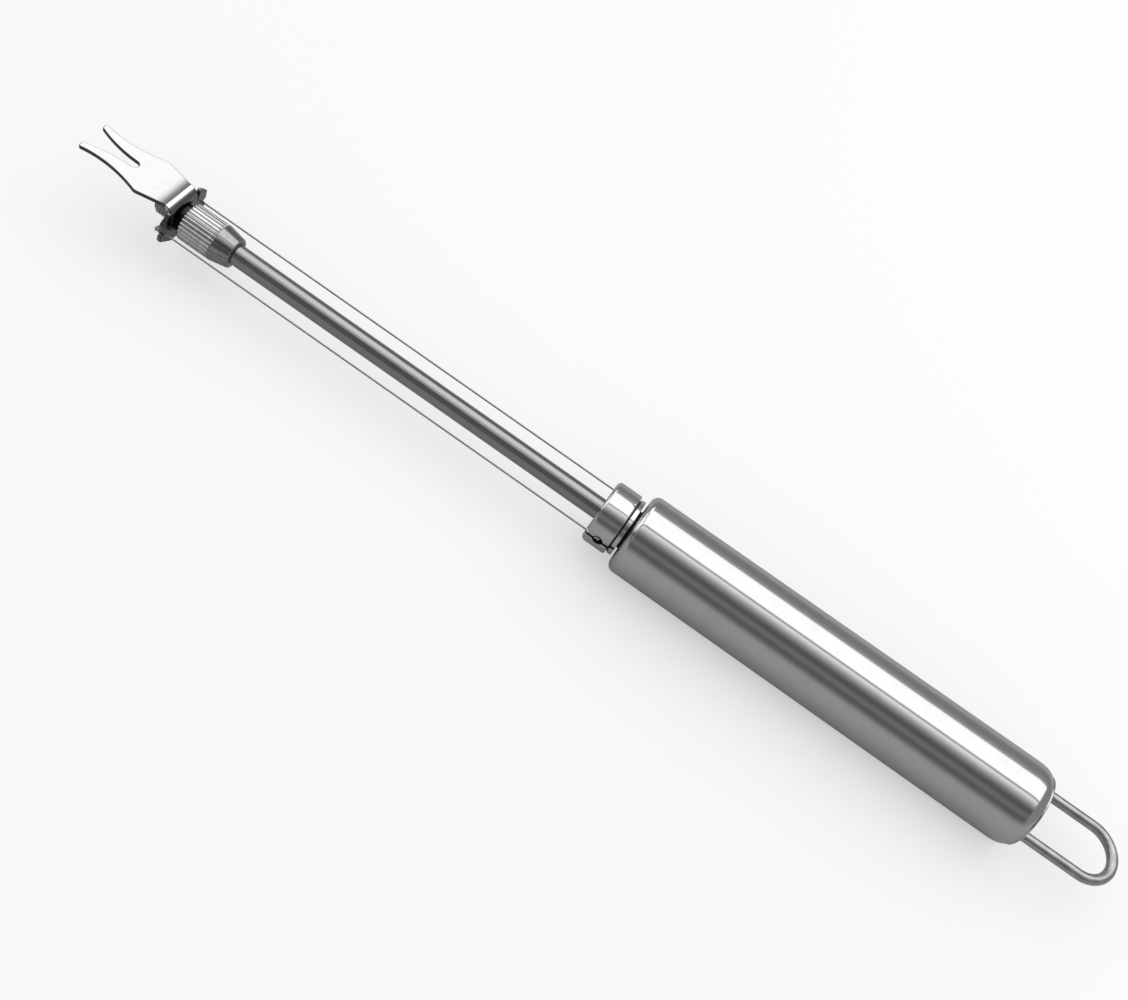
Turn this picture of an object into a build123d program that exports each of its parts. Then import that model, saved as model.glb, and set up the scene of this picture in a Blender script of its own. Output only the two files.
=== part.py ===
from build123d import *
import os

# Twin-wire cheese slicer, lying on its handle with the fork face up.
# X runs along the tool from the fork to the hanging loop, and Z is up.
# The origin is the bottom centre of the whole tool's box.
# Places along the tool are given as distances from the collar's front face.

# Rod and its thread
rod_diameter = 5.0
rod_length_out = 119.75
rod_tip_proud = 5.6
rod_tip_chamfer = 0.6
rod_tail_proud = 0.8

# Wires
wire_diameter = 0.42
wire_offset = 6.85

# Wire collar on the rod, in front of the handle
collar_diameter = 15.2
collar_length = 6.2
collar_front_radius = 1.1
collar_rear_radius = 0.4
neck_diameter = 13.9
neck_length = 1.35
neck_groove_width = 0.3
neck_groove_depth = 0.35
spigot_diameter = 9.6
spigot_length = 5.6
pocket_diameter = 2.4
pocket_place = 3.4
slot_width = 0.62
slot_floor_gap = 0.15

# Handle tube
handle_gap = 0.65
handle_length = 105.7
handle_front_diameter = 19.5
handle_rear_diameter = 20.1
handle_wall = 0.8
shoulder_radius = 1.9
tail_length = 4.2
tail_rim_diameter = 17.8

# Plug inside the handle's mouth
plug_length = 14.0

# End cap and hanging loop
cap_thickness = 2.2
cap_proud = 0.7
cap_edge_radius = 0.35
loop_wire_diameter = 2.5
loop_leg_offset = 6.75
loop_length = 22.4

# Tension nut
nut_length = 14.4
nut_diameter = 9.1
nut_grip_length = 9.9
nut_nose_diameter = 7.5
nut_edge_radius = 0.45
nut_mouth_diameter = 6.3
nut_mouth_depth = 0.8
nut_hub_diameter = 6.8
nut_hub_length = 1.3
flute_count = 30
flute_depth = 0.3
flute_radius = 0.36

# Spreader plate and fork, one folded sheet
sheet_thickness = 1
bend_radius = 2.9
fork_height = 5.55
plate_half_width = 7.9
shoulder_top_height = 5.4
shoulder_height = 3.0
lower_height = 2.3
base_depth = 5.0
base_half_width = 3.7
plate_corner_radius = 0.6
bend_relief = 0.35
notch_mouth_width = 1.5
notch_mouth_depth = 0.7

# Fork outline
fork_length = 22.8
fork_root_half_width = 4.65
fork_half_width = 6.2
fork_corner_radius = 1.6
crotch_radius = 1.0
prong_tip_radius = 0.55

# Wire stops, crimped on the wire ends
stop_diameter = 1.3
stop_length = 1.2
wire_end_proud = 0.2

# Fits and clearances
running_fit = 0.05
stop_fit = 0.05
nut_face_gap = 0.05
cut_overrun = 1.0

# Places on the fork's outline: share of its length, share of its half width
fork_widest_share = 0.294
fork_side_shares = ((0.501, 0.775), (0.724, 0.675))
prong_outer_share = 0.79
prong_inner_share = 0.54
crotch_share = 0.453

# Places and sizes that follow from the ones above
rod_radius = rod_diameter / 2
collar_radius = collar_diameter / 2
neck_radius = neck_diameter / 2
spigot_radius = spigot_diameter / 2
front_radius = handle_front_diameter / 2
rear_radius = handle_rear_diameter / 2
rim_radius = tail_rim_diameter / 2
mouth_radius = front_radius - shoulder_radius
wire_radius = wire_diameter / 2
stop_radius = stop_diameter / 2
loop_wire_radius = loop_wire_diameter / 2
nut_radius = nut_diameter / 2

groove_radius = neck_radius - neck_groove_depth
groove_end = collar_length + neck_groove_width
neck_end = collar_length + neck_length
handle_front = neck_end + handle_gap
handle_rear = handle_front + handle_length
shoulder_end = handle_front + shoulder_radius
tail_start = handle_rear - tail_length
cap_face = handle_rear + cap_proud
plug_end = handle_front + plug_length
plate_back = rod_length_out - rod_tip_proud
plate_face = plate_back - sheet_thickness
nut_end = plate_face - nut_face_gap
nut_place = nut_end - nut_length
fork_start = plate_face + bend_radius
front_reach = fork_start + fork_length
rear_reach = cap_face + loop_length
collar_x = (front_reach - rear_reach) / 2
axis_height = rear_radius

# The side plane holds the axis: its x is the distance behind the collar's front face.
# The level plane also holds the axis, and its y runs across the tool.
tool_axis = Axis((0, 0, axis_height), (1, 0, 0))
side = Plane(origin=(collar_x, 0, axis_height), x_dir=(1, 0, 0), z_dir=(0, -1, 0))
level = Plane(origin=(collar_x, 0, axis_height), x_dir=(1, 0, 0), z_dir=(0, 0, 1))
sides = {"right": -1, "left": 1}

os.makedirs("parts", exist_ok=True)


def across(distance, offset=0):
    """Section plane at a distance behind the collar's front face, facing the loop."""
    place = (collar_x + distance, offset, axis_height)
    return Plane(origin=place, x_dir=(0, 1, 0), z_dir=(1, 0, 0))


def save(piece, label):
    """Label a finished piece and write it under that name."""
    piece.part.label = label
    export_step(piece.part, f"parts/{label}.step")


def inner_radius(distance):
    """Inner radius of the handle tube, which widens a little towards its rear."""
    share = (distance - shoulder_end) / (tail_start - shoulder_end)
    return front_radius - handle_wall + share * (rear_radius - front_radius)


# Handle tube: a thin tube with a rounded mouth and a rounded, drawn-in tail
with BuildPart() as handle_tube:
    with BuildSketch(side):
        with BuildLine():
            Line((handle_front, mouth_radius - handle_wall), (handle_front, mouth_radius))
            RadiusArc((handle_front, mouth_radius), (shoulder_end, front_radius), shoulder_radius)
            body = Line((shoulder_end, front_radius), (tail_start, rear_radius))
            TangentArc(body @ 1, (handle_rear, rim_radius), tangent=body % 1)
            Polyline(
                (handle_rear, rim_radius),
                (handle_rear, rim_radius - handle_wall),
                (tail_start, rear_radius - handle_wall),
                (shoulder_end, front_radius - handle_wall),
                (handle_front + handle_wall, mouth_radius - handle_wall),
                (handle_front, mouth_radius - handle_wall),
            )
        make_face()
    revolve(axis=tool_axis)
save(handle_tube, "handle_tube")

# Front plug: fills the mouth, carries the rod and takes the collar's spigot
spigot_depth = spigot_length - handle_gap
with BuildPart() as front_plug:
    with BuildSketch(side):
        with BuildLine():
            Polyline(
                (handle_front, spigot_radius),
                (handle_front, mouth_radius - handle_wall),
                (handle_front + handle_wall, mouth_radius - handle_wall),
                (shoulder_end, front_radius - handle_wall),
                (plug_end, inner_radius(plug_end)),
                (plug_end, rod_radius),
                (handle_front + spigot_depth, rod_radius),
                (handle_front + spigot_depth, spigot_radius),
                (handle_front, spigot_radius),
            )
        make_face()
    revolve(axis=tool_axis)
save(front_plug, "front_plug")

# End cap: a disc trapped by the drawn-in rim, standing a little proud of it
cap_radius = rim_radius - handle_wall
cap_inside = cap_face - cap_thickness
cap_spread = (rear_radius - rim_radius) / tail_length * (handle_rear - cap_inside)
with BuildPart() as handle_end_cap:
    with BuildSketch(side):
        with BuildLine():
            Polyline(
                (cap_inside, 0),
                (cap_inside, cap_radius + cap_spread),
                (handle_rear, cap_radius),
                (cap_face, cap_radius),
                (cap_face, 0),
                (cap_inside, 0),
            )
        make_face()
    revolve(axis=tool_axis)
    rim_edge = handle_end_cap.faces().sort_by(Axis.X)[-1].edges()
    fillet(rim_edge, cap_edge_radius)
save(handle_end_cap, "handle_end_cap")

# Hanging loop: one bent wire, its legs welded to the cap's face
bend_centre = cap_face + loop_length - loop_wire_radius - loop_leg_offset
with BuildPart() as hanging_loop:
    with BuildLine(level) as loop_path:
        Line((cap_face, -loop_leg_offset), (bend_centre, -loop_leg_offset))
        RadiusArc((bend_centre, -loop_leg_offset), (bend_centre, loop_leg_offset), -loop_leg_offset)
        Line((bend_centre, loop_leg_offset), (cap_face, loop_leg_offset))
    with BuildSketch(across(cap_face, offset=-loop_leg_offset)):
        Circle(loop_wire_radius)
    sweep(path=loop_path.wires()[0])
save(hanging_loop, "hanging_loop")

# Rod: plain bar from the fork end into the plug, its tail headed behind the plug
with BuildPart() as rod:
    with BuildSketch(across(-rod_length_out)):
        Circle(rod_radius)
    extrude(amount=rod_length_out + plug_end + rod_tail_proud)
    chamfer(rod.edges().sort_by(Axis.X)[0], rod_tip_chamfer)
save(rod, "rod")

# Wire collar: turned, with a groove at the neck, and a slot and a pocket on each side for a wire
slot_floor = wire_offset - wire_radius - slot_floor_gap
pocket_floor = wire_offset - stop_radius - stop_fit
slot_height = collar_radius + cut_overrun - slot_floor
with BuildPart() as wire_collar:
    with BuildSketch(side):
        with BuildLine():
            Polyline(
                (0, rod_radius),
                (0, collar_radius),
                (collar_length, collar_radius),
                (collar_length, groove_radius),
                (groove_end, groove_radius),
                (groove_end, neck_radius),
                (neck_end, neck_radius),
                (neck_end, spigot_radius),
                (neck_end + spigot_length, spigot_radius),
                (neck_end + spigot_length, rod_radius),
                (0, rod_radius),
            )
        make_face()
        fillet(vertices().group_by(Axis.Y)[-1].sort_by(Axis.X)[0], collar_front_radius)
        fillet(vertices().group_by(Axis.Y)[-1].sort_by(Axis.X)[-1], collar_rear_radius)
    revolve(axis=tool_axis)
    for direction in sides.values():
        with BuildSketch(across(-cut_overrun)):
            with Locations((direction * (slot_floor + slot_height / 2), 0)):
                Rectangle(slot_height, slot_width)
        extrude(amount=neck_end + 2 * cut_overrun, mode=Mode.SUBTRACT)
        pocket_start = (collar_x + pocket_place, direction * pocket_floor, axis_height)
        with BuildSketch(Plane(origin=pocket_start, x_dir=(1, 0, 0), z_dir=(0, direction, 0))):
            Circle(pocket_diameter / 2)
        extrude(amount=collar_radius + cut_overrun - pocket_floor, mode=Mode.SUBTRACT)
save(wire_collar, "wire_collar")

# Tension nut: short hub on the plate, fluted grip, and a plain tapered nose towards the handle
nut_bore = rod_radius + running_fit
flute_centre = nut_radius - flute_depth + flute_radius
with BuildPart() as tension_nut:
    with BuildSketch(side):
        with BuildLine():
            Polyline(
                (-nut_end, nut_bore),
                (-nut_end, nut_hub_diameter / 2),
                (nut_hub_length - nut_end, nut_hub_diameter / 2),
                (nut_hub_length - nut_end, nut_radius),
                (nut_grip_length - nut_end, nut_radius),
                (-nut_place, nut_nose_diameter / 2),
                (-nut_place, nut_mouth_diameter / 2),
                (-nut_place - nut_mouth_depth, nut_bore),
                (-nut_end, nut_bore),
            )
        make_face()
        rim_heights = (nut_nose_diameter / 2, nut_radius)
        rim_corners = vertices().filter_by_position(Axis.Y, *rim_heights).sort_by(Axis.X)
        fillet([rim_corners[0], rim_corners[-1]], nut_edge_radius)
    revolve(axis=tool_axis)
    with BuildSketch(across(-nut_end - cut_overrun)):
        with PolarLocations(flute_centre, flute_count):
            Circle(flute_radius)
    extrude(amount=nut_grip_length + cut_overrun, mode=Mode.SUBTRACT)
save(tension_nut, "tension_nut")

# Spreader plate and fork: one sheet with the plate square to the rod and the fork folded forward
bend_height = fork_height - bend_radius
fork_origin = (collar_x - fork_start, 0, axis_height + fork_height - sheet_thickness)
fork_plane = Plane(origin=fork_origin, x_dir=(-1, 0, 0), z_dir=(0, 0, 1))
fork_widest = (fork_length * fork_widest_share, fork_half_width)
fork_side = [(fork_length * run, fork_half_width * half) for run, half in fork_side_shares]
prong_outer = (fork_length, fork_half_width * prong_outer_share)
prong_inner = (fork_length, fork_half_width * prong_inner_share)
crotch = fork_length * crotch_share
with BuildPart() as spreader_fork:
    with BuildSketch(across(-plate_back)):
        with BuildLine():
            Polyline(
                (0, bend_height),
                (fork_root_half_width, bend_height),
                (fork_root_half_width + bend_relief, shoulder_top_height),
                (plate_half_width, shoulder_height),
                (plate_half_width, -lower_height),
                (base_half_width, -base_depth),
                (0, -base_depth),
                (0, bend_height),
            )
        make_face()
        mirror(about=Plane.YZ)
        bend_corners = (bend_height - bend_relief, bend_height + bend_relief)
        top_corners = vertices().filter_by_position(Axis.Y, *bend_corners)
        fillet(vertices() - top_corners, plate_corner_radius)
        Circle(rod_radius + running_fit, mode=Mode.SUBTRACT)
        for direction in sides.values():
            with Locations((direction * wire_offset, 0)):
                Circle(slot_width / 2, mode=Mode.SUBTRACT)
            with BuildLine():
                Polyline(
                    (direction * wire_offset, slot_width / 2),
                    (direction * (plate_half_width - notch_mouth_depth), slot_width / 2),
                    (direction * plate_half_width, notch_mouth_width / 2),
                    (direction * (plate_half_width + cut_overrun), notch_mouth_width / 2),
                    (direction * (plate_half_width + cut_overrun), -notch_mouth_width / 2),
                    (direction * plate_half_width, -notch_mouth_width / 2),
                    (direction * (plate_half_width - notch_mouth_depth), -slot_width / 2),
                    (direction * wire_offset, -slot_width / 2),
                    (direction * wire_offset, slot_width / 2),
                )
            make_face(mode=Mode.SUBTRACT)
    extrude(amount=sheet_thickness)
    with BuildSketch(side):
        with BuildLine():
            RadiusArc((-plate_face, bend_height), (-fork_start, fork_height), -bend_radius)
            Line((-fork_start, fork_height), (-fork_start, fork_height - sheet_thickness))
            RadiusArc(
                (-fork_start, fork_height - sheet_thickness),
                (-plate_back, bend_height),
                bend_radius - sheet_thickness,
            )
            Line((-plate_back, bend_height), (-plate_face, bend_height))
        make_face()
    extrude(amount=fork_root_half_width, both=True)
    with BuildSketch(fork_plane):
        with BuildLine():
            Polyline((crotch, 0), (0, 0), (0, fork_root_half_width), fork_widest)
            Spline(fork_widest, *fork_side, prong_outer)
            Line(prong_outer, prong_inner)
            TangentArc((crotch + crotch_radius, crotch_radius), prong_inner, tangent=(1, 0))
            RadiusArc((crotch, 0), (crotch + crotch_radius, crotch_radius), crotch_radius)
        make_face()
        mirror(about=Plane.XZ)
        fillet(vertices().group_by(Axis.X)[-1], prong_tip_radius)
        fillet([vertices().sort_by(Axis.Y)[0], vertices().sort_by(Axis.Y)[-1]], fork_corner_radius)
    extrude(amount=sheet_thickness)
save(spreader_fork, "spreader_fork")

# Wire stops: a crimped sleeve on each wire end
pocket_half_chord = ((pocket_diameter / 2) ** 2 - stop_radius**2) ** 0.5
collar_stop_start = pocket_place - pocket_half_chord + stop_fit
plate_stop_start = -plate_back - stop_length


def wire_stop(start, direction):
    """A sleeve round a wire, which starts at a distance behind the collar's front face."""
    with BuildPart() as stop:
        with BuildSketch(across(start, offset=direction * wire_offset)):
            Circle(stop_radius)
            Circle(wire_radius + stop_fit, mode=Mode.SUBTRACT)
        extrude(amount=stop_length)
    return stop


# Cutting wires: straight and taut between the two stops of each side
def cutting_wire(direction):
    """A wire from behind the plate's stop to just past the collar's stop."""
    start = plate_stop_start - wire_end_proud
    end = collar_stop_start + stop_length + wire_end_proud
    with BuildPart() as wire:
        with BuildSketch(across(start, offset=direction * wire_offset)):
            Circle(wire_radius)
        extrude(amount=end - start)
    return wire


for side_name, side_direction in sides.items():
    save(wire_stop(collar_stop_start, side_direction), f"collar_stop_{side_name}")
    save(wire_stop(plate_stop_start, side_direction), f"plate_stop_{side_name}")
    save(cutting_wire(side_direction), f"cutting_wire_{side_name}")
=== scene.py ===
import math
import bmesh
import bpy
from mathutils import Matrix, Vector


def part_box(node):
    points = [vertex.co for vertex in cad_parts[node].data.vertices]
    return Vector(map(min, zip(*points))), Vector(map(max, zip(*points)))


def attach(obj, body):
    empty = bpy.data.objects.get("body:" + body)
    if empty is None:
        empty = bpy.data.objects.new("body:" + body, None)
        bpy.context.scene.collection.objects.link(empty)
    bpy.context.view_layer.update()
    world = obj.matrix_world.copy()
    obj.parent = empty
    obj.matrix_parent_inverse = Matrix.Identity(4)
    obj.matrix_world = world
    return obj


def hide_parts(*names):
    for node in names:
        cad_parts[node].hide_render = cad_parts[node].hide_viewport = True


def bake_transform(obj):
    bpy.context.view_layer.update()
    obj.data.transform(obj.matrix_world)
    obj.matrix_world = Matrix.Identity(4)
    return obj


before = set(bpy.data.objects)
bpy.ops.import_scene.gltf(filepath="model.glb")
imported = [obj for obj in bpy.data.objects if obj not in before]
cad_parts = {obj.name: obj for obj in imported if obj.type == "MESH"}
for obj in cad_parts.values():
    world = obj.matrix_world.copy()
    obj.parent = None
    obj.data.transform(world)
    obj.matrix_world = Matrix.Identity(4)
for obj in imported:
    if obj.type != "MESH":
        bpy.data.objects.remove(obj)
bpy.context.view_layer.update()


# Camera: it stands above the camera side of the tool and is rolled, so that the tool
# runs from the upper left to the lower right of the 1128 x 1000 picture.
camera_place = Vector((0.00315, -0.20434, 0.26091))
camera_right = Vector((0.818355, 0.464006, 0.339106))
camera_up = Vector((-0.5739, 0.628429, 0.525086))
camera = bpy.data.objects.new("camera", bpy.data.cameras.new("camera"))
camera.data.lens = 46.86
camera.data.sensor_width = 36
camera.data.clip_start = 0.01
camera.data.clip_end = 20
facing = Matrix((camera_right, camera_up, camera_right.cross(camera_up))).transposed()
camera.matrix_world = Matrix.Translation(camera_place) @ facing.to_4x4()
bpy.context.scene.collection.objects.link(camera)
bpy.context.scene.camera = camera
bpy.context.scene.view_settings.view_transform = "Standard"


# Table: a plain sheet of white board that the tool lies on. The camera sees it near white, partly
# by a glow of its own, with the tool's soft shadow, and the steel mirrors it as a grey.
table_half = 1.5
board_white, board_grey, glow_white, glow_share = 0.97, 0.42, 0.98, 0.45
table_mesh = bpy.data.meshes.new("table")
corners = [(-table_half, -table_half, 0), (table_half, -table_half, 0),
           (table_half, table_half, 0), (-table_half, table_half, 0)]
table_mesh.from_pydata(corners, [], [(0, 1, 2, 3)])
table = bpy.data.objects.new("table", table_mesh)
bpy.context.scene.collection.objects.link(table)
board = bpy.data.materials.new("white_board")
board.use_nodes = True
nodes, links = board.node_tree.nodes, board.node_tree.links
nodes.clear()
board_out = nodes.new("ShaderNodeOutputMaterial")
board_mix = nodes.new("ShaderNodeMixShader")
board_path = nodes.new("ShaderNodeLightPath")
board_seen = nodes.new("ShaderNodeBsdfDiffuse")
board_seen.inputs["Color"].default_value = (board_white, board_white, board_white, 1)
board_mirrored = nodes.new("ShaderNodeBsdfDiffuse")
board_mirrored.inputs["Color"].default_value = (board_grey, board_grey, board_grey, 1)
board_lit = nodes.new("ShaderNodeMixShader")
board_lit.inputs["Fac"].default_value = glow_share
board_glow = nodes.new("ShaderNodeEmission")
board_glow.inputs["Color"].default_value = (glow_white, glow_white, glow_white, 1)
links.new(board_seen.outputs["BSDF"], board_lit.inputs[1])
links.new(board_glow.outputs["Emission"], board_lit.inputs[2])
links.new(board_path.outputs["Is Camera Ray"], board_mix.inputs["Fac"])
links.new(board_mirrored.outputs["BSDF"], board_mix.inputs[1])
links.new(board_lit.outputs["Shader"], board_mix.inputs[2])
links.new(board_mix.outputs["Shader"], board_out.inputs["Surface"])
table_mesh.materials.append(board)


# Studio: even soft light all round. The steel mirrors a long white panel overhead with dark
# ends, a thin gap beside it, and greys that fall off towards the dark camera side.
studio = bpy.data.worlds.new("studio")
bpy.context.scene.world = studio
studio.use_nodes = True
nodes, links = studio.node_tree.nodes, studio.node_tree.links
nodes.clear()
studio_out = nodes.new("ShaderNodeOutputWorld")
studio_path = nodes.new("ShaderNodeLightPath")
even_light = nodes.new("ShaderNodeBackground")
even_light.inputs["Color"].default_value = (1, 1, 1, 1)
even_light.inputs["Strength"].default_value = 0.92
backdrop = nodes.new("ShaderNodeBackground")
backdrop.inputs["Color"].default_value = (1, 1, 1, 1)
backdrop.inputs["Strength"].default_value = 1.0
# Rise over the table, in degrees from the far side (0) over the top (90) to the camera side (180),
# and how bright the studio is there
studio_greys = (
    (0, 0.34), (12, 0.26), (26, 0.27), (36, 0.36), (43, 0.5), (45, 1.0), (48, 1.55), (92, 1.6),
    (94.5, 0.5), (97.5, 0.5), (100.5, 1.15), (104, 1.0), (110, 0.66), (118, 0.34), (126, 0.16),
    (134, 0.11), (143, 0.2), (150, 0.2), (156, 0.13), (164, 0.15), (172, 0.28), (180, 0.42))
studio_direction = nodes.new("ShaderNodeTexCoord")
studio_split = nodes.new("ShaderNodeSeparateXYZ")
studio_angle = nodes.new("ShaderNodeMath")
studio_angle.operation = "ARCTAN2"
studio_share = nodes.new("ShaderNodeMath")
studio_share.operation = "DIVIDE"
studio_share.inputs[1].default_value = math.pi
studio_ramp = nodes.new("ShaderNodeValToRGB")
while len(studio_ramp.color_ramp.elements) < len(studio_greys):
    studio_ramp.color_ramp.elements.new(0.5)
brightest = max(grey for angle, grey in studio_greys)
for stop, (angle, grey) in zip(studio_ramp.color_ramp.elements, studio_greys):
    stop.position = angle / 180
    stop.color = (grey / brightest, grey / brightest, grey / brightest, 1)
# The panel's dark ends: how far a direction lies along X where each end starts and where it
# stops, and its grey. A direction never reaches 1.9, so the rear end doesn't stop.
panel_ends = {"rear": ((0.56, 0.68), (2.0, 1.9), 0.3), "front": ((-0.6, -0.64), (-0.76, -0.7), 0.4)}
panel_rise = (20, 30)
# The wider white sheet that the fork mirrors: where it starts along X, its rise over the table
# in degrees on its two sides, and its grey
sheet_along, sheet_rise, sheet_grey = (-0.27, -0.33), ((24, 30), (84, 90)), 1.55


def studio_step(source, start, end):
    """A soft step from 0 to 1 between two values of a socket."""
    step = nodes.new("ShaderNodeMapRange")
    step.interpolation_type = "SMOOTHSTEP"
    step.inputs["From Min"].default_value = start
    step.inputs["From Max"].default_value = end
    links.new(source, step.inputs["Value"])
    return step.outputs["Result"]


def studio_blend(share, first, second):
    """A colour that goes from the first to the second by a share."""
    blend = nodes.new("ShaderNodeMix")
    blend.data_type = "RGBA"
    links.new(share, blend.inputs[0])
    links.new(first, blend.inputs[6])
    if isinstance(second, float):
        blend.inputs[7].default_value = (second, second, second, 1)
    else:
        links.new(second, blend.inputs[7])
    return blend.outputs[2]


mirrored_studio = nodes.new("ShaderNodeBackground")
mirrored_studio.inputs["Strength"].default_value = brightest
links.new(studio_direction.outputs["Generated"], studio_split.inputs[0])
links.new(studio_split.outputs["Z"], studio_angle.inputs[0])
links.new(studio_split.outputs["Y"], studio_angle.inputs[1])
links.new(studio_angle.outputs[0], studio_share.inputs[0])
links.new(studio_share.outputs[0], studio_ramp.inputs["Fac"])
along_x = studio_split.outputs["X"]
degrees = nodes.new("ShaderNodeMath")
degrees.operation = "MULTIPLY"
degrees.inputs[1].default_value = 180.0
links.new(studio_share.outputs[0], degrees.inputs[0])
over_sheet = studio_step(along_x, *sheet_along)
for first, last in (sheet_rise[0], reversed(sheet_rise[1])):
    both = nodes.new("ShaderNodeMath")
    both.operation = "MULTIPLY"
    links.new(over_sheet, both.inputs[0])
    links.new(studio_step(degrees.outputs[0], first, last), both.inputs[1])
    over_sheet = both.outputs[0]
seen_grey = studio_blend(over_sheet, studio_ramp.outputs["Color"], sheet_grey / brightest)
over_table = studio_step(degrees.outputs[0], *panel_rise)
for end_start, end_stop, end_grey in panel_ends.values():
    past_end = nodes.new("ShaderNodeMath")
    past_end.operation = "MULTIPLY"
    links.new(studio_step(along_x, *end_start), past_end.inputs[0])
    links.new(studio_step(along_x, *end_stop), past_end.inputs[1])
    in_view = nodes.new("ShaderNodeMath")
    in_view.operation = "MULTIPLY"
    links.new(past_end.outputs[0], in_view.inputs[0])
    links.new(over_table, in_view.inputs[1])
    seen_grey = studio_blend(in_view.outputs[0], seen_grey, end_grey / brightest)
links.new(seen_grey, mirrored_studio.inputs["Color"])
mirror_mix = nodes.new("ShaderNodeMixShader")
camera_mix = nodes.new("ShaderNodeMixShader")
links.new(studio_path.outputs["Is Glossy Ray"], mirror_mix.inputs["Fac"])
links.new(even_light.outputs["Background"], mirror_mix.inputs[1])
links.new(mirrored_studio.outputs["Background"], mirror_mix.inputs[2])
links.new(studio_path.outputs["Is Camera Ray"], camera_mix.inputs["Fac"])
links.new(mirror_mix.outputs["Shader"], camera_mix.inputs[1])
links.new(backdrop.outputs["Background"], camera_mix.inputs[2])
links.new(camera_mix.outputs["Shader"], studio_out.inputs["Surface"])

# Soft lamp: a window of light beyond the handle's rear end, which gives the shadow on the
# camera's side. It isn't mirrored in the steel, since the studio already shows the panel.
lamp_place, lamp_aim = Vector((0.2, 0.3, 0.38)), Vector((0.1, 0, 0))
soft_lamp = bpy.data.lights.new("soft_lamp", "AREA")
soft_lamp.shape = "RECTANGLE"
soft_lamp.size = 0.4
soft_lamp.size_y = 0.3
soft_lamp.energy = 0.25
lamp_stand = bpy.data.objects.new("soft_lamp", soft_lamp)
lamp_turn = (lamp_aim - lamp_place).to_track_quat("-Z", "Y").to_matrix().to_4x4()
lamp_stand.matrix_world = Matrix.Translation(lamp_place) @ lamp_turn
lamp_stand.visible_glossy = False
bpy.context.scene.collection.objects.link(lamp_stand)


# Handle tube: a drawn stainless tube, rounded over at the mouth and drawn in at the tail
# round the end cap, where its rim is rolled to a bead. Its fine polishing lines run round it.
MM = 0.001
axis_height = 10.05
tube_front, tube_rear = 9.125, 114.825
tube_front_radius, tube_rear_radius = 9.75, 10.05
mouth_round, tail_length, tail_rim_radius, tube_wall = 1.9, 4.2, 8.9, 0.8
mouth_lip, taper_run, taper_rise, bead_lap = 0.1, 33, 0.1, 0.06


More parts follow.
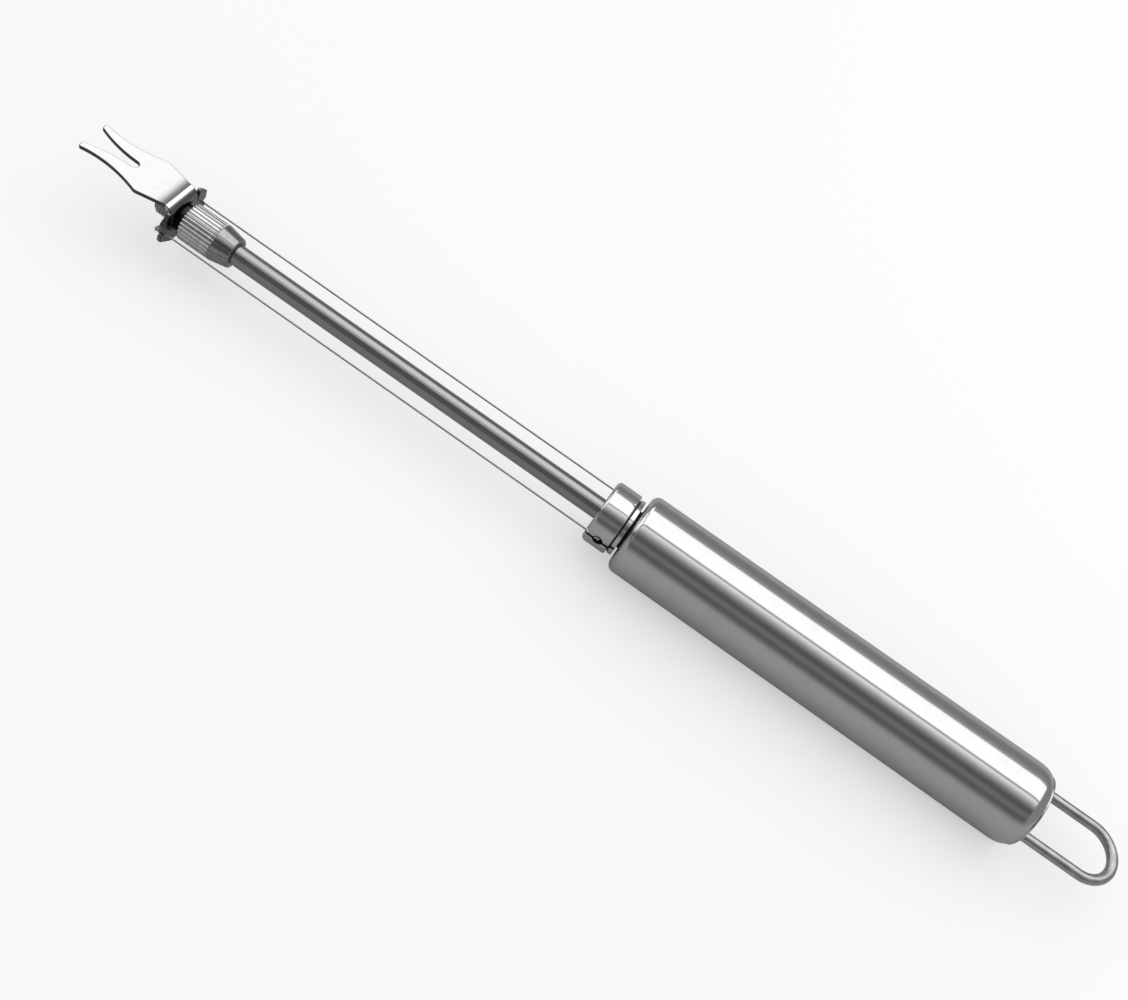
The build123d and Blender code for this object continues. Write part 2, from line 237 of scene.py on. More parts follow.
def steel(name, colour, dull, lines, line_depth, mottle_size=4.0, mottle=0.05, zones=()):
    """A bare steel finish. colour is the grey, dull the roughness, and lines the size of the
    fine polishing lines along X, Y and Z in mm, line_depth deep. Patches of mottle_size mm take
    the grey up and down by the share mottle. zones holds places along X in mm, each with what
    the grey is multiplied by there."""
    finish = bpy.data.materials.new(name)
    finish.use_nodes = True
    nodes, links = finish.node_tree.nodes, finish.node_tree.links
    shader = nodes["Principled BSDF"]
    shader.inputs["Metallic"].default_value = 1
    place = nodes.new("ShaderNodeTexCoord")
    stretch = nodes.new("ShaderNodeVectorMath")
    stretch.operation = "MULTIPLY"
    stretch.inputs[1].default_value = [1 / (size * MM) for size in lines]
    links.new(place.outputs["Object"], stretch.inputs[0])
    fine_lines = nodes.new("ShaderNodeTexNoise")
    fine_lines.inputs["Scale"].default_value = 1
    fine_lines.inputs["Detail"].default_value = 3
    links.new(stretch.outputs[0], fine_lines.inputs["Vector"])
    handling = nodes.new("ShaderNodeTexNoise")
    handling.inputs["Scale"].default_value = 1 / (mottle_size * MM)
    handling.inputs["Detail"].default_value = 4
    links.new(place.outputs["Object"], handling.inputs["Vector"])
    wear = nodes.new("ShaderNodeMath")
    wear.operation = "MULTIPLY_ADD"
    wear.inputs[1].default_value = 0.5
    links.new(fine_lines.outputs["Fac"], wear.inputs[0])
    halved = nodes.new("ShaderNodeMath")
    halved.operation = "MULTIPLY"
    halved.inputs[1].default_value = 0.5
    links.new(handling.outputs["Fac"], halved.inputs[0])
    links.new(halved.outputs[0], wear.inputs[2])
    dullness = nodes.new("ShaderNodeMapRange")
    dullness.inputs["From Min"].default_value = 0.3
    dullness.inputs["From Max"].default_value = 0.7
    dullness.inputs["To Min"].default_value = dull * 0.8
    dullness.inputs["To Max"].default_value = dull * 1.3
    links.new(wear.outputs[0], dullness.inputs["Value"])
    links.new(dullness.outputs["Result"], shader.inputs["Roughness"])
    shade = nodes.new("ShaderNodeValToRGB")
    shade.color_ramp.elements[0].position = 0.3
    shade.color_ramp.elements[1].position = 0.7
    shade.color_ramp.elements[0].color = [grey * (1 - mottle) for grey in colour] + [1]
    shade.color_ramp.elements[1].color = [grey * (1 + mottle) for grey in colour] + [1]
    links.new(wear.outputs[0], shade.inputs["Fac"])
    grey = shade.outputs["Color"]
    if zones:
        split = nodes.new("ShaderNodeSeparateXYZ")
        links.new(place.outputs["Object"], split.inputs[0])
        along = nodes.new("ShaderNodeMapRange")
        along.inputs["From Min"].default_value = zones[0][0] * MM
        along.inputs["From Max"].default_value = zones[-1][0] * MM
        links.new(split.outputs["X"], along.inputs["Value"])
        zone_ramp = nodes.new("ShaderNodeValToRGB")
        while len(zone_ramp.color_ramp.elements) < len(zones):
            zone_ramp.color_ramp.elements.new(0.5)
        for stop, (x, share) in zip(zone_ramp.color_ramp.elements, zones):
            stop.position = (x - zones[0][0]) / (zones[-1][0] - zones[0][0])
            stop.color = (share, share, share, 1)
        links.new(along.outputs["Result"], zone_ramp.inputs["Fac"])
        toned = nodes.new("ShaderNodeMix")
        toned.data_type = "RGBA"
        toned.blend_type = "MULTIPLY"
        toned.inputs[0].default_value = 1
        links.new(grey, toned.inputs[6])
        links.new(zone_ramp.outputs["Color"], toned.inputs[7])
        grey = toned.outputs[2]
    links.new(grey, shader.inputs["Base Color"])
    grooves = nodes.new("ShaderNodeBump")
    grooves.inputs["Strength"].default_value = 1
    grooves.inputs["Distance"].default_value = line_depth * MM
    links.new(fine_lines.outputs["Fac"], grooves.inputs["Height"])
    links.new(grooves.outputs["Normal"], shader.inputs["Normal"])
    return finish


def smooth_piece(piece, sharp=35):
    """Merge doubles, point the faces outwards and smooth all but the sharp edges."""
    mesh = bmesh.new()
    mesh.from_mesh(piece.data)
    bmesh.ops.remove_doubles(mesh, verts=mesh.verts, dist=0.001 * MM)
    bmesh.ops.recalc_face_normals(mesh, faces=mesh.faces)
    for face in mesh.faces:
        face.smooth = True
    mesh.to_mesh(piece.data)
    mesh.free()
    piece.data.set_sharp_from_angle(angle=math.radians(sharp))


def new_piece(name, points, faces, finish):
    """A piece from points in mm in the row frame."""
    mesh = bpy.data.meshes.new(name)
    mesh.from_pydata([Vector(point) * MM for point in points], [], faces)
    mesh.materials.append(finish)
    piece = bpy.data.objects.new(name, mesh)
    bpy.context.scene.collection.objects.link(piece)
    return piece


def turned(name, outline, finish, steps=128, centre_y=0.0, closed=True):
    """A turned piece: an outline of (x, radius) in mm goes round the X direction."""
    points, faces = [], []
    for x, radius in outline:
        for step in range(steps):
            turn = 2 * math.pi * step / steps
            points.append((x, centre_y + radius * math.cos(turn), axis_height + radius * math.sin(turn)))
    rows = len(outline)
    for row in range(rows if closed else rows - 1):
        after = (row + 1) % rows
        for step in range(steps):
            beside = (step + 1) % steps
            here, there = row * steps, after * steps
            faces.append((here + step, here + beside, there + beside, there + step))
    piece = new_piece(name, points, faces, finish)
    smooth_piece(piece)
    return piece


def rounding(centre_x, centre_radius, radius, first, last, steps=6):
    """Points of an arc on an outline, from one angle to the other in degrees."""
    arc = []
    for step in range(steps + 1):
        angle = math.radians(first + (last - first) * step / steps)
        arc.append((centre_x + radius * math.cos(angle), centre_radius + radius * math.sin(angle)))
    return arc


spindle_polish = steel("spindle_polished_steel", (0.63, 0.63, 0.625), 0.075, (0.12, 14, 14), 0.00022)
mouth_radius = tube_front_radius - mouth_round
tail_drop = tube_rear_radius - tail_rim_radius
tail_knee, knee_turn, bead_radius = 2.2, 9, 0.26
bead_place, bead_foot = (tube_rear + 0.12, tail_rim_radius - 0.2), tube_rear - 0.1
tail_run = bead_foot - tube_rear + tail_length - tail_knee
tail_round = tail_run / math.sin(math.radians(knee_turn))
knee_drop = tail_drop - tail_round * (1 - math.cos(math.radians(knee_turn)))
knee_chord = math.atan2(knee_drop, tail_knee)
knee_end = 2 * math.degrees(knee_chord) - knee_turn
knee_round = math.hypot(tail_knee, knee_drop) / 2 / math.sin(knee_chord - math.radians(knee_turn))
tube_outline = (
    [(tube_front + tube_wall, mouth_radius - tube_wall), (tube_front + mouth_lip, mouth_radius - tube_wall),
     (tube_front, mouth_radius - tube_wall + mouth_lip)]
    + rounding(tube_front + mouth_round, mouth_radius, mouth_round, 180, 90, 10)
    + [(tube_front + mouth_round + taper_run * part, tube_front_radius + taper_rise * part)
       for part in (1, 2)]
    + rounding(tube_rear - tail_length, tube_rear_radius - tail_round, tail_round, 90, 90 - knee_turn, 6)
    + rounding(bead_foot - knee_round * math.sin(math.radians(knee_end)),
               tail_rim_radius - knee_round * math.cos(math.radians(knee_end)), knee_round,
               90 - knee_turn, 90 - knee_end, 12)[1:]
    + rounding(*bead_place, bead_radius, 150, -20, 10)
    + [(tube_rear, tail_rim_radius - tube_wall + bead_lap),
       (tube_rear - tail_length, tube_rear_radius - tube_wall),
       (tube_front + mouth_round, tube_front_radius - tube_wall)])
handle_tube = turned("handle_tube_shell", tube_outline, spindle_polish, 160)
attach(handle_tube, "handle")
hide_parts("handle_tube")


# End cap: a stainless disc that the tube's tail is drawn in over. It stands a little
# proud, with a broken edge and a thin dark joint between it and the tube.
cap_face, cap_radius, cap_edge, cap_inside = 115.525, 8.04, 0.35, 113.4
cap_flange, cap_joint, joint_depth, cap_dish = 0.3, 0.12, 0.4, 0.06
cap_outline = (
    [(cap_inside, 0), (cap_inside, cap_radius + cap_flange), (tube_rear - joint_depth, cap_radius - 0.02),
     (tube_rear, cap_radius - cap_joint)]
    + rounding(cap_face - cap_edge, cap_radius - cap_joint - cap_edge, cap_edge, 90, 0)
    + [(cap_face - 0.02, cap_radius - 1.4), (cap_face - 0.05, cap_radius - 3), (cap_face - cap_dish, 0)])
faced_steel = steel("faced_steel", (0.62, 0.62, 0.615), 0.16, (3, 0.5, 0.5), 0.0006)
end_cap = turned("end_cap_disc", cap_outline, faced_steel, 96, closed=False)
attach(end_cap, "handle")
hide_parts("handle_end_cap")


# Hanging loop: one length of stainless wire, bent round and welded to the cap by its two
# legs. It is tumbled bright, and a small weld fillet runs round the foot of each leg.
loop_wire_radius, leg_offset, bend_centre = 1.25, 6.75, 129.925
leg_sink, leg_mark, weld_sink, weld_overlap, weld_fillet, weld_foot = 0.3, 7, 0.2, 0.1, 0.36, 0.32


def new_tree(name, result, **sockets):
    """A node tree with an input for each of the sockets, given by its kind, and the result as
    its output."""
    tree = bpy.data.node_groups.new(name, "GeometryNodeTree")
    for label, kind in sockets.items():
        label = label.replace("_", " ").title()
        tree.interface.new_socket(name=label, in_out="INPUT", socket_type="NodeSocket" + kind)
    tree.interface.new_socket(name=result, in_out="OUTPUT", socket_type="NodeSocketGeometry")
    return tree


def swept_tree(name):
    """Nodes that sweep a round bar along the edges of a mesh."""
    tree = new_tree(name, "Bar", path="Geometry", bar_radius="Float", sides="Int", finish="Material")
    nodes, links = tree.nodes, tree.links
    given, made = nodes.new("NodeGroupInput"), nodes.new("NodeGroupOutput")
    path, bar = nodes.new("GeometryNodeMeshToCurve"), nodes.new("GeometryNodeCurvePrimitiveCircle")
    sweep, solid = nodes.new("GeometryNodeCurveToMesh"), nodes.new("GeometryNodeRealizeInstances")
    coat = nodes.new("GeometryNodeSetMaterial")
    sweep.inputs["Fill Caps"].default_value = True
    links.new(given.outputs["Path"], path.inputs["Mesh"])
    links.new(given.outputs["Bar Radius"], bar.inputs["Radius"])
    links.new(given.outputs["Sides"], bar.inputs["Resolution"])
    links.new(path.outputs["Curve"], sweep.inputs["Curve"])
    links.new(bar.outputs["Curve"], sweep.inputs["Profile Curve"])
    links.new(sweep.outputs["Mesh"], solid.inputs["Geometry"])
    links.new(solid.outputs["Geometry"], coat.inputs["Geometry"])
    links.new(given.outputs["Finish"], coat.inputs["Material"])
    links.new(coat.outputs["Geometry"], made.inputs["Bar"])
    return tree


def grown(piece, tree, **settings):
    """Run a node tree on a piece with named settings, and keep the result as a plain mesh."""
    modifier = piece.modifiers.new(tree.name, "NODES")
    modifier.node_group = tree
    for socket in tree.interface.items_tree:
        setting = socket.name.lower().replace(" ", "_")
        if socket.in_out == "INPUT" and setting in settings:
            modifier[socket.identifier] = settings[setting]
    piece.update_tag()
    view = bpy.context.evaluated_depsgraph_get()
    mesh = bpy.data.meshes.new_from_object(piece.evaluated_get(view))
    piece.modifiers.clear()
    piece.data = mesh
    smooth_piece(piece)
    return piece


bar_sweep = swept_tree("bar_sweep")
tumbled_wire = steel("tumbled_wire", (0.47, 0.47, 0.47), 0.3, (8, 0.22, 0.22), 0.008, 2.0, 0.35)
loop_line = [(cap_face - leg_sink, -leg_offset, axis_height), (cap_face + leg_mark, -leg_offset, axis_height)]
for step in range(33):
    turn = math.radians(-90 + 180 * step / 32)
    loop_line.append((bend_centre + leg_offset * math.cos(turn), leg_offset * math.sin(turn), axis_height))
loop_line += [(cap_face + leg_mark, leg_offset, axis_height), (cap_face - leg_sink, leg_offset, axis_height)]
loop_mesh = bpy.data.meshes.new("loop_line")
loop_edges = [(start, start + 1) for start in range(len(loop_line) - 1)]
loop_mesh.from_pydata([Vector(point) * MM for point in loop_line], loop_edges, [])
hanging_loop = bpy.data.objects.new("hanging_loop_wire", loop_mesh)
bpy.context.scene.collection.objects.link(hanging_loop)
grown(hanging_loop, bar_sweep, bar_radius=loop_wire_radius * MM, sides=40, finish=tumbled_wire)
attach(hanging_loop, "handle")
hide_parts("hanging_loop")
for side_name, leg_y in (("right", -leg_offset), ("left", leg_offset)):
    weld_outline = (
        [(cap_face - weld_sink, loop_wire_radius - weld_overlap),
         (cap_face - weld_sink, loop_wire_radius + weld_foot)]
        + rounding(cap_face + weld_fillet, loop_wire_radius + weld_fillet, weld_fillet, 180, 270, 5)
        + [(cap_face + weld_fillet, loop_wire_radius - weld_overlap)])
    weld = turned("loop_weld_" + side_name, weld_outline, tumbled_wire, 32, leg_y)
    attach(weld, "handle")


# Wire collar and front plug: the collar is turned from bar, with a neck and a spigot that
# sits in the plug in the handle's mouth. A saw slot and a drilled pocket on each side hold a wire.
def edged_copy(name, node, finish, edge, painted_shade_finish, picks_painted_shade, sharp=28):
    """A copy of a solid with its flat faces joined up, and its edges over sharp degrees rounded
    by edge mm. The second finish, which is near black and painted shade, goes on the rounded edges
    and on the faces that the given test picks."""
    piece = bpy.data.objects.new(name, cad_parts[node].data.copy())
    piece.data.materials.clear()
    piece.data.materials.append(finish)
    piece.data.materials.append(painted_shade_finish)
    bpy.context.scene.collection.objects.link(piece)
    mesh = bmesh.new()
    mesh.from_mesh(piece.data)
    bmesh.ops.remove_doubles(mesh, verts=mesh.verts, dist=0.002 * MM)
    bmesh.ops.dissolve_limit(mesh, angle_limit=math.radians(0.5), verts=mesh.verts, edges=mesh.edges)
    for face in mesh.faces:
        face.smooth = True
        middle = face.calc_center_median() / MM
        face.material_index = int(picks_painted_shade(middle.x, middle.y, middle.z - axis_height, face.normal))
    mesh.to_mesh(piece.data)
    mesh.free()
    round_edges = piece.modifiers.new("round_edges", "BEVEL")
    round_edges.width = edge * MM
    round_edges.segments = 3
    round_edges.limit_method = "ANGLE"
    round_edges.angle_limit = math.radians(sharp)
    round_edges.use_clamp_overlap = False
    round_edges.material = 1
    flat_faces = piece.modifiers.new("flat_faces", "WEIGHTED_NORMAL")
    flat_faces.weight = 100
    view = bpy.context.evaluated_depsgraph_get()
    baked = bpy.data.meshes.new_from_object(piece.evaluated_get(view))
    piece.modifiers.clear()
    piece.data = baked
    return piece


turned_steel = steel("turned_steel", (0.64, 0.64, 0.635), 0.08, (0.08, 12, 12), 0.0002)
# Near-black steel, which is painted shade. It goes in the slots, pockets and neck groove, on the spigot past
# the neck, on the collar's sharp rounded edges and over the front plug, where these lie in shade.
painted_shade_steel = steel("shaded_turned_steel", (0.05, 0.05, 0.05), 0.5, (0.15, 6, 6), 0.001)
slot_half, pocket_x, pocket_radius, pocket_floor = 0.32, 4.325, 1.25, 5.9
groove_start, groove_end, groove_rim, neck_end = 7.11, 7.44, 6.9, 8.45


def in_collar_painted_shade(x, y, z, direction):
    """Inside a wire's slot or pocket, in the groove at the neck, or past the neck, where the faces
    are painted near black as painted shade.
    """
    in_slot = abs(y) > pocket_floor and (abs(z) < slot_half or math.hypot(x - pocket_x, z) < pocket_radius)
    in_groove = groove_start < x < groove_end and math.hypot(y, z) < groove_rim
    return in_slot or in_groove or x > neck_end


wire_collar = edged_copy("wire_collar_body", "wire_collar", turned_steel, 0.06, painted_shade_steel, in_collar_painted_shade)
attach(wire_collar, "handle")
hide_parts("wire_collar")
# The front plug is painted near black all over, as painted shade in the handle's mouth.
front_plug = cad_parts["front_plug"]
front_plug.data.materials.clear()
front_plug.data.materials.append(painted_shade_steel)


# Rod: 5 mm bright drawn stainless bar from the fork end into the plug. Its lines run along
# it, and an M5 thread is rolled on its fork end for the tension nut.
rod_radius, rod_tip, rod_tail = 2.5, -118.825, 23.925
thread_end, thread_pitch, thread_root = -98.6, 0.8, 2.02
tip_chamfer, tip_run, root_run, root_lead, mark_spacing = 0.25, 0.35, 0.4, 0.1, 10
thread_inset, thread_margin = 0.45, 1.1
# The rod's grey is set darker than the other steel as painted shade, and its tip behind the plate is painted
# darker still, as painted shade.
painted_rod_tip_shade = ((-119.5, 0.2), (-113.6, 0.2), (-113, 1), (24, 1))
drawn_steel = steel("drawn_steel", (0.36, 0.36, 0.365), 0.16, (30, 0.25, 0.25), 0.0008, zones=painted_rod_tip_shade)
rod_outline = (
    [(rod_tip, 0), (rod_tip, thread_root - tip_chamfer), (rod_tip + tip_run, thread_root),
     (thread_end - root_run, thread_root), (thread_end + root_lead, rod_radius)]
    + [(thread_end + mark_spacing * part, rod_radius) for part in range(1, 12)]
    + [(rod_tail, rod_radius), (rod_tail, 0)])
rod = turned("rod_bar", rod_outline, drawn_steel, 64, closed=False)
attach(rod, "handle")
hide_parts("rod")


def thread_tree(name):
    """Nodes that wind a thread: a strip of grid whose length is the angle and whose width is one pitch."""
    tree = new_tree(name, "Thread", start="Float", pitch="Float", turns="Float", steps="Int",
                    root_radius="Float", crest_radius="Float", axis_height="Float", finish="Material")
    nodes, links = tree.nodes, tree.links
    given, made = nodes.new("NodeGroupInput"), nodes.new("NodeGroupOutput")

    def sum_of(operation, *values):
        node = nodes.new("ShaderNodeMath")
        node.operation = operation
        for socket, value in zip(node.inputs, values):
            if isinstance(value, (int, float)):
                socket.default_value = value
            else:
                links.new(value, socket)
        return node.outputs[0]

    strip = nodes.new("GeometryNodeMeshGrid")
    strip.inputs["Size X"].default_value = 1
    strip.inputs["Size Y"].default_value = 1
    strip.inputs["Vertices Y"].default_value = 6
    links.new(given.outputs["Steps"], strip.inputs["Vertices X"])
    place, split = nodes.new("GeometryNodeInputPosition"), nodes.new("ShaderNodeSeparateXYZ")
    links.new(place.outputs[0], split.inputs[0])
    wound = sum_of("MULTIPLY", sum_of("ADD", split.outputs["X"], 0.5), given.outputs["Turns"])
    angle = sum_of("MULTIPLY", wound, 2 * math.pi)
    flank = nodes.new("ShaderNodeMapRange")
    for label, value in (("From Min", 0.5), ("From Max", 0.1), ("To Min", 0.0), ("To Max", 1.0)):
        flank.inputs[label].default_value = value
    links.new(sum_of("ABSOLUTE", split.outputs["Y"]), flank.inputs["Value"])
    to_end = sum_of("SUBTRACT", given.outputs["Turns"], wound)
    nearest_end = sum_of("MINIMUM", sum_of("MULTIPLY", wound, 1.5), sum_of("MULTIPLY", to_end, 1.5))
    fade = sum_of("MINIMUM", nearest_end, 1)
    depth = sum_of("SUBTRACT", given.outputs["Crest Radius"], given.outputs["Root Radius"])
    rise = sum_of("MULTIPLY", sum_of("MULTIPLY", flank.outputs["Result"], fade), depth)
    radius = sum_of("ADD", given.outputs["Root Radius"], rise)
    along = sum_of("ADD", given.outputs["Start"], sum_of("MULTIPLY", given.outputs["Pitch"],
                                                          sum_of("ADD", wound, split.outputs["Y"])))
    spot = nodes.new("ShaderNodeCombineXYZ")
    links.new(along, spot.inputs["X"])
    links.new(sum_of("MULTIPLY", radius, sum_of("COSINE", angle)), spot.inputs["Y"])
    rise_over_axis = sum_of("MULTIPLY", radius, sum_of("SINE", angle))
    links.new(sum_of("ADD", given.outputs["Axis Height"], rise_over_axis), spot.inputs["Z"])
    wind, solid = nodes.new("GeometryNodeSetPosition"), nodes.new("GeometryNodeRealizeInstances")
    coat = nodes.new("GeometryNodeSetMaterial")
    links.new(strip.outputs["Mesh"], wind.inputs["Geometry"])
    links.new(spot.outputs[0], wind.inputs["Position"])
    links.new(wind.outputs["Geometry"], solid.inputs["Geometry"])
    links.new(solid.outputs["Geometry"], coat.inputs["Geometry"])
    links.new(given.outputs["Finish"], coat.inputs["Material"])
    links.new(coat.outputs["Geometry"], made.inputs["Thread"])
    return tree


rolled_thread = steel("rolled_thread", (0.5, 0.5, 0.5), 0.2, (0.3, 1.5, 1.5), 0.001)
thread_turns = int((thread_end - rod_tip - thread_margin) / thread_pitch)
rod_thread = new_piece("rod_thread", [], [], rolled_thread)
grown(rod_thread, thread_tree("thread_winding"), start=(rod_tip + thread_inset) * MM, pitch=thread_pitch * MM,
      turns=float(thread_turns), steps=thread_turns * 36 + 1, root_radius=(thread_root - 0.01) * MM,
      crest_radius=rod_radius * MM, axis_height=axis_height * MM, finish=rolled_thread)
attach(rod_thread, "handle")


# Tension nut: turned from bar, with a fluted grip against the plate and a plain tapered
# nose. The flutes are milled along it and run out in a curve where the nose begins.
nut_rear, nut_front, grip_end = -97.775, -112.175, -102.275
nut_radius, nose_radius, nut_edge, nut_bore = 4.55, 3.75, 0.45, 2.55
hub_radius, hub_length = 3.4, 1.3
nut_mouth_radius, nut_mouth_depth = 3.15, 0.8
flute_count, flute_depth, flute_radius, flute_run_out = 30, 0.3, 0.36, 1.1
nut_burr, land_step, nose_start, bore_margin = 0.08, 0.25, 0.25, 0.1
flute_shares = (0.22, 0.45, 0.66, 0.84, 0.95, 1.0)


def flute_sector():
    """One flute and half a land on each side of it, round the X axis, as (points, faces) in mm."""
    half_sector = 180 / flute_count
    cutter = nut_radius - flute_depth + flute_radius
    flute_edge = (nut_radius ** 2 + cutter ** 2 - flute_radius ** 2) / (2 * nut_radius * cutter)
    flute_half = math.degrees(math.acos(flute_edge))
    half_angles = [flute_half * share for share in flute_shares] + [flute_half + land_step, half_sector]
    angles = [-angle for angle in reversed(half_angles)] + [0] + half_angles
    nose_slope = math.atan2(nut_radius - nose_radius, nut_rear - grip_end)
    grip_start = nut_front + hub_length
    land_start = grip_start + nut_edge
    land_run = grip_end - flute_run_out - land_start
    nose_turn = 90 - math.degrees(nose_slope)
    outline = ([(nut_front, nut_bore), (nut_front, hub_radius - nut_burr), (nut_front + nut_burr, hub_radius),
                (grip_start, hub_radius)]
               + rounding(land_start, nut_radius - nut_edge, nut_edge, 180, 90, 5)
               + [(land_start + land_run * part / 6, nut_radius) for part in range(1, 7)]
               + [(grip_end - flute_run_out * (1 - part / 7), nut_radius) for part in range(1, 8)]
               + [(grip_end + nose_start, nut_radius - nose_start * math.tan(nose_slope) * 0.9)]
               + rounding(nut_rear - nut_edge, nose_radius - nut_edge, nut_edge, nose_turn, 0, 5)
               + [(nut_rear, nut_mouth_radius + bore_margin), (nut_rear - nut_burr, nut_mouth_radius),
                  (nut_rear - nut_mouth_depth, nut_bore), (nut_front, nut_bore)])
    points, faces = [], []
    for x, radius in outline:
        share = max(0.0, (x - (grip_end - flute_run_out)) / flute_run_out)
        lift = flute_depth * (1 - math.sqrt(max(0.0, 1 - min(share, 1.0) ** 2)))
        for angle in angles:
            turn = math.radians(angle)
            reach = flute_radius ** 2 - ((cutter + lift) * math.sin(turn)) ** 2
            cut = (cutter + lift) * math.cos(turn) - math.sqrt(reach) if reach > 0 else nut_radius
            here = min(radius, cut) if radius > nut_bore + bore_margin and share < 1 else radius
            points.append((x, here * math.cos(turn), here * math.sin(turn)))
    columns = len(angles)
    for row in range(len(outline) - 1):
        for column in range(columns - 1):
            first = row * columns + column
            faces.append((first, first + 1, first + columns + 1, first + columns))
    return points, faces


def ring_tree(name):
    """Nodes that set copies of one sector side by side round the tool's axis."""
    tree = new_tree(name, "Ring", sector="Geometry", count="Int", axis_height="Float", finish="Material")
    nodes, links = tree.nodes, tree.links
    given, made = nodes.new("NodeGroupInput"), nodes.new("NodeGroupOutput")
    places, index = nodes.new("GeometryNodeMeshLine"), nodes.new("GeometryNodeInputIndex")
    places.inputs["Offset"].default_value = (0, 0, 0)
    step, turn = nodes.new("ShaderNodeMath"), nodes.new("ShaderNodeMath")
    step.operation, turn.operation = "DIVIDE", "MULTIPLY"
    step.inputs[0].default_value = 2 * math.pi
    about_x, lift = nodes.new("ShaderNodeCombineXYZ"), nodes.new("ShaderNodeCombineXYZ")
    copies, raised = nodes.new("GeometryNodeInstanceOnPoints"), nodes.new("GeometryNodeTransform")
    solid, joined = nodes.new("GeometryNodeRealizeInstances"), nodes.new("GeometryNodeMergeByDistance")
    joined.inputs["Distance"].default_value = 0.002 * MM
    coat = nodes.new("GeometryNodeSetMaterial")
    links.new(given.outputs["Count"], places.inputs["Count"])
    links.new(given.outputs["Count"], step.inputs[1])
    links.new(index.outputs[0], turn.inputs[0])
    links.new(step.outputs[0], turn.inputs[1])
    links.new(turn.outputs[0], about_x.inputs["X"])
    links.new(places.outputs["Mesh"], copies.inputs["Points"])
    links.new(given.outputs["Sector"], copies.inputs["Instance"])
    links.new(about_x.outputs[0], copies.inputs["Rotation"])
    links.new(given.outputs["Axis Height"], lift.inputs["Z"])
    links.new(copies.outputs["Instances"], raised.inputs["Geometry"])
    links.new(lift.outputs[0], raised.inputs["Translation"])
    links.new(raised.outputs["Geometry"], solid.inputs["Geometry"])
    links.new(solid.outputs["Geometry"], joined.inputs["Geometry"])
    links.new(joined.outputs["Geometry"], coat.inputs["Geometry"])
    links.new(given.outputs["Finish"], coat.inputs["Material"])
    links.new(coat.outputs["Geometry"], made.inputs["Ring"])
    return tree


# The nut's grey is painted along X. It is near black on the hub and grip end by the plate as painted shade,
# raised over the grip as painted light, and lowered over the nose as painted shade that dims its reflection.
painted_nut_light_and_shade = ((-113, 0.06), (-110.84, 0.06), (-110.7, 1), (-110, 1.3), (-103.4, 1.3), (-102.2, 0.72),
             (-97, 0.66))
nut_steel = steel("milled_nut_steel", (0.5, 0.5, 0.495), 0.07, (0.3, 3, 3), 0.0006, 1.2, 0.16, painted_nut_light_and_shade)
tension_nut = new_piece("tension_nut_body", *flute_sector(), nut_steel)
grown(tension_nut, ring_tree("flute_ring"), count=flute_count, axis_height=axis_height * MM, finish=nut_steel)
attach(tension_nut, "nut")
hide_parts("tension_nut")


# Spreader plate and fork: one blank of 1 mm stainless sheet, sheared with two wire notches and two
# prongs, and folded square. Its grey is painted along X at the fold: painted shade in a band before
# the fold, a painted highlight line on it, and painted shade over the plate.
fold_end = -115.2
painted_fold_light_and_shade = ((-140, 1), (-117.4, 0.98), (-116.5, 0.8), (-115.9, 0.5), (-115.3, 0.24), (-114.6, 0.15),
              (-114.4, 1.3), (-113.75, 1.3), (-113.6, 0.36), (-112.4, 0.36), (-110, 0.3))
sheet_steel = steel(
    "satin_sheet_steel", (0.64, 0.64, 0.635), 0.17, (2.5, 0.2, 0.2), 0.0004, 2.5, 0.07, painted_fold_light_and_shade)
# Sheared edge: rough steel, and its near-black grey is painted shade.
sheared_steel = steel("sheared_steel", (0.1, 0.1, 0.1), 0.4, (0.12, 0.12, 1), 0.004)


def on_fork_edge(x, y, z, direction):
    """On the rough sheared edge of the fork, between its two faces, whose near-black grey is painted shade.
    """
    return x < fold_end and abs(direction.z) < 0.3


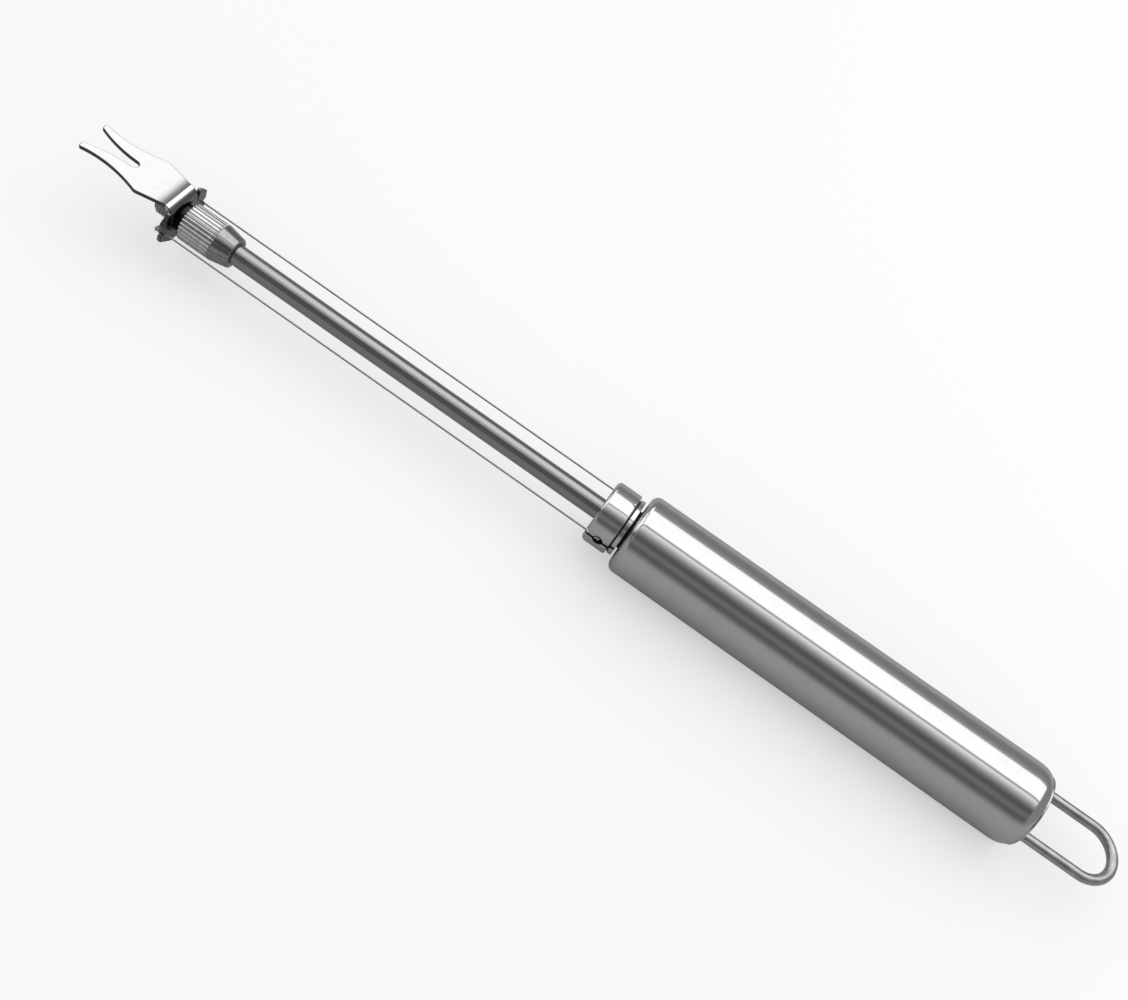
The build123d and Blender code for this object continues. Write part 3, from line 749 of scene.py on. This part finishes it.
spreader_fork = edged_copy(
    "spreader_fork_sheet", "spreader_fork", sheet_steel, 0.18, sheared_steel, on_fork_edge)
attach(spreader_fork, "spreader")
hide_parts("spreader_fork")


# Cutting wires and their stops: hard stainless wire, one on each side, pulled taut between
# a crimped sleeve in the collar's pocket and another behind the plate.
wire_radius, wire_offset = 0.21, 6.85
wire_parts, sleeve_edge, sleeve_waist = 60, 0.15, 0.12
wire_steel = steel("hard_wire_steel", (0.34, 0.34, 0.34), 0.2, (6, 0.1, 0.1), 0.0004)
crimped_steel = steel("crimped_steel", (0.5, 0.5, 0.5), 0.22, (0.5, 0.5, 0.5), 0.002)
for side_name, wire_y in (("right", -wire_offset), ("left", wire_offset)):
    wire_low, wire_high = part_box("cutting_wire_" + side_name)
    start, end = wire_low[0] / MM, wire_high[0] / MM
    wire_line = bpy.data.meshes.new("wire_line")
    wire_places = [start + (end - start) * part / wire_parts for part in range(wire_parts + 1)]
    wire_points = [Vector((place, wire_y, axis_height)) * MM for place in wire_places]
    wire_line.from_pydata(wire_points, [(part, part + 1) for part in range(wire_parts)], [])
    wire = bpy.data.objects.new("taut_wire_" + side_name, wire_line)
    bpy.context.scene.collection.objects.link(wire)
    grown(wire, bar_sweep, bar_radius=wire_radius * MM, sides=16, finish=wire_steel)
    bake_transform(wire)
    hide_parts("cutting_wire_" + side_name)
    for place, body in (("collar", "handle"), ("plate", "spreader")):
        node = place + "_stop_" + side_name
        stop_low, stop_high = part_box(node)
        first, last = stop_low[0] / MM, stop_high[0] / MM
        stop_radius = (stop_high[2] - stop_low[2]) / 2 / MM
        stop_outline = (
            rounding(first + sleeve_edge, stop_radius - sleeve_edge, sleeve_edge, 180, 90, 3)
            + [(first + sleeve_edge * 2, stop_radius), (first + sleeve_edge * 3, stop_radius - sleeve_waist),
               (last - sleeve_edge * 3, stop_radius - sleeve_waist), (last - sleeve_edge * 2, stop_radius)]
            + rounding(last - sleeve_edge, stop_radius - sleeve_edge, sleeve_edge, 90, 0, 3)
            + [(last, wire_radius), (first, wire_radius)])
        stop = turned(node + "_sleeve", stop_outline, crimped_steel, 28, wire_y)
        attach(stop, body)
        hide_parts(node)
